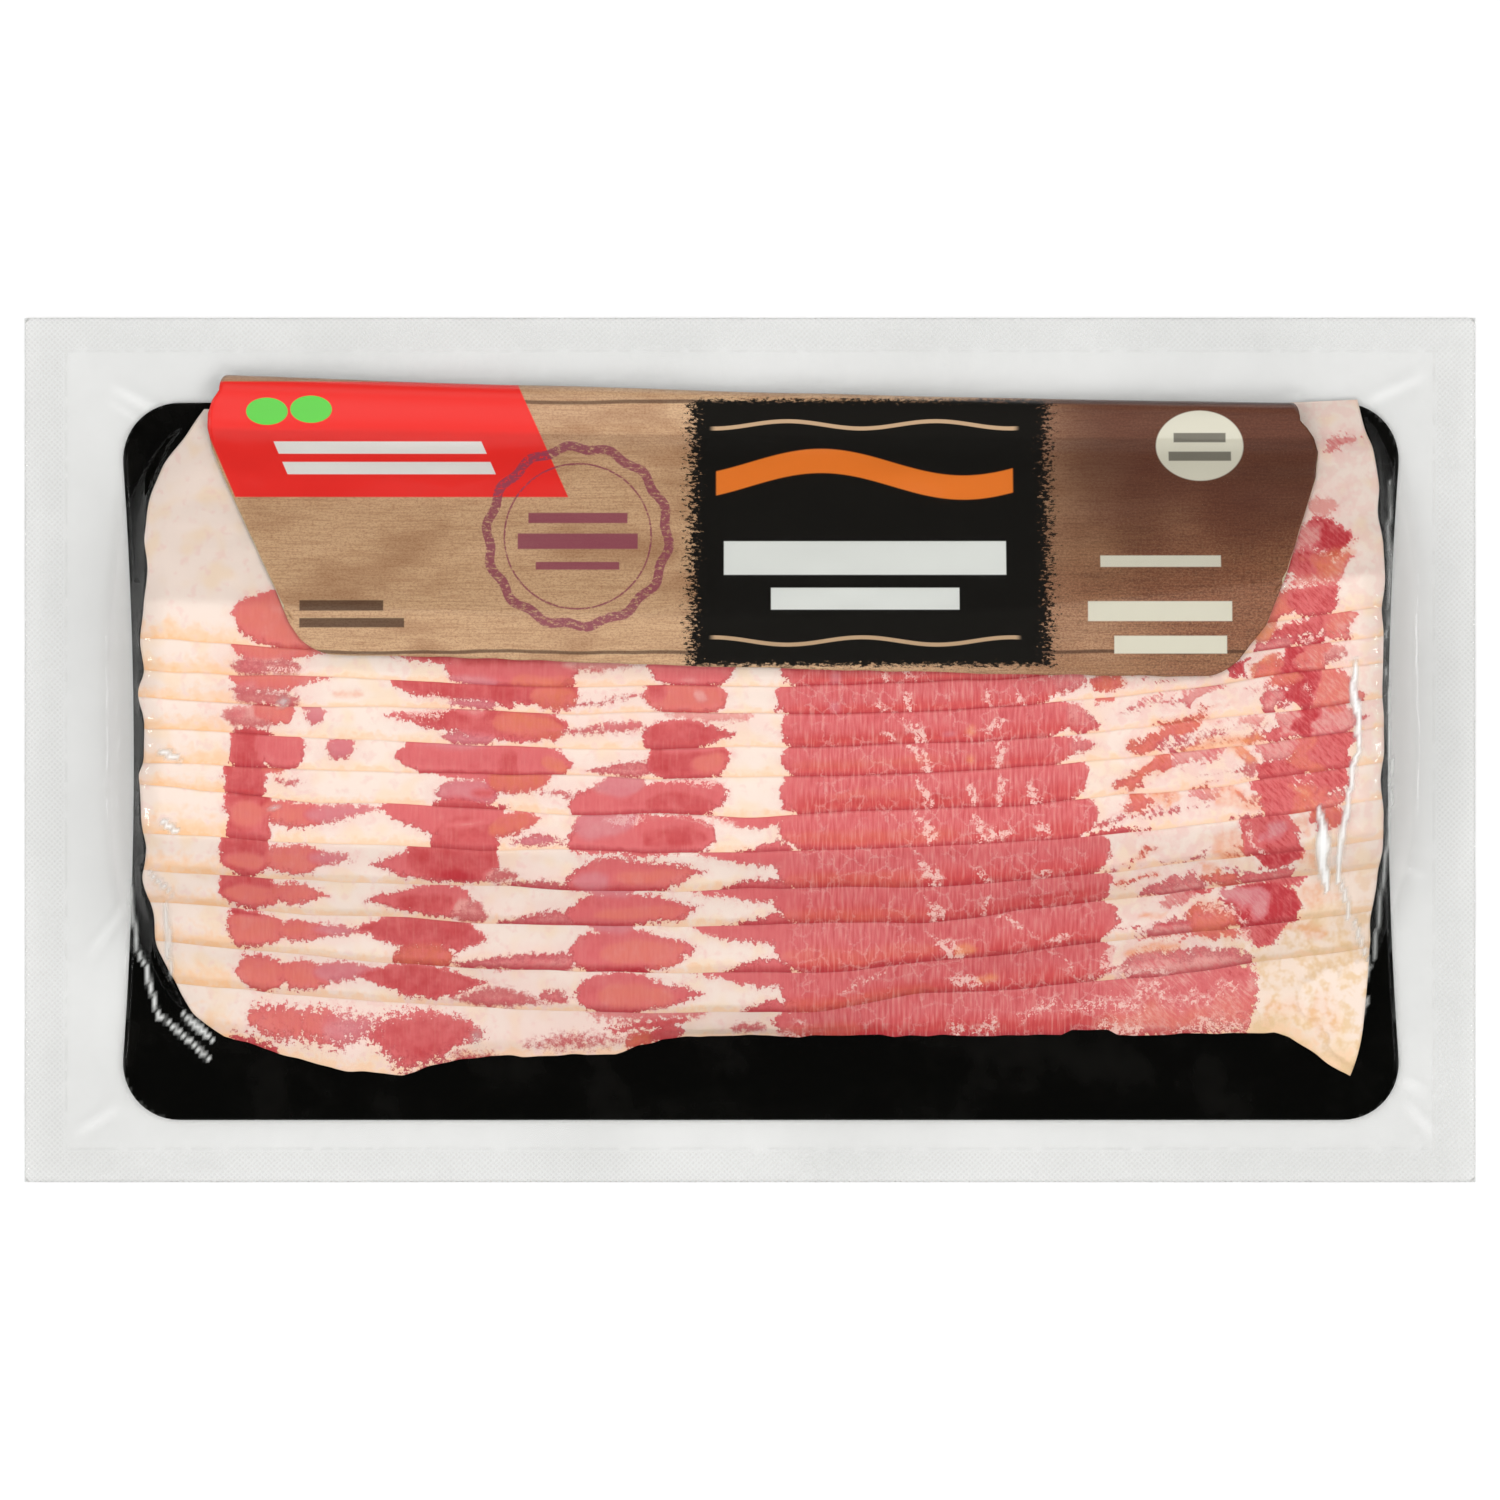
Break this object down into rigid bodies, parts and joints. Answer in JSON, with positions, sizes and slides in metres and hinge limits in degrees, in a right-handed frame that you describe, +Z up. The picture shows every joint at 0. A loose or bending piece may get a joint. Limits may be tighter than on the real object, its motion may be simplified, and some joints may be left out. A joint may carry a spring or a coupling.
{
  "type": "bacon pack",
  "caption": "Vacuum-sealed clear pack of shingled raw bacon slices on a dark card whose printed head folds over as a flap; lies flat with its clear side up.",
  "frame": {"origin": "middle of the underside of the base web", "axes": "+X along the slices, +Y from the foot of the card to its fold, +Z up out of the clear side"},
  "size_m": [0.28, 0.1668, 0.0268],
  "materials": {
    "film": "clear glossy film with quilted heat seals",
    "board": "coated card, gloss black inside",
    "print": "coated card printed with wood grain and plain colour fields",
    "bacon": "moist raw cured pork, pink lean with cream fat"
  },
  "bodies": {
    "root": {"film_base": "film", "film_top": "film", "l_board": "board", "slice_01": "bacon", "slice_02": "bacon", "slice_03": "bacon", "slice_04": "bacon", "slice_05": "bacon", "slice_06": "bacon", "slice_07": "bacon", "slice_08": "bacon", "slice_09": "bacon", "slice_10": "bacon", "slice_11": "bacon", "slice_12": "bacon"}
  },
  "joints": []
}
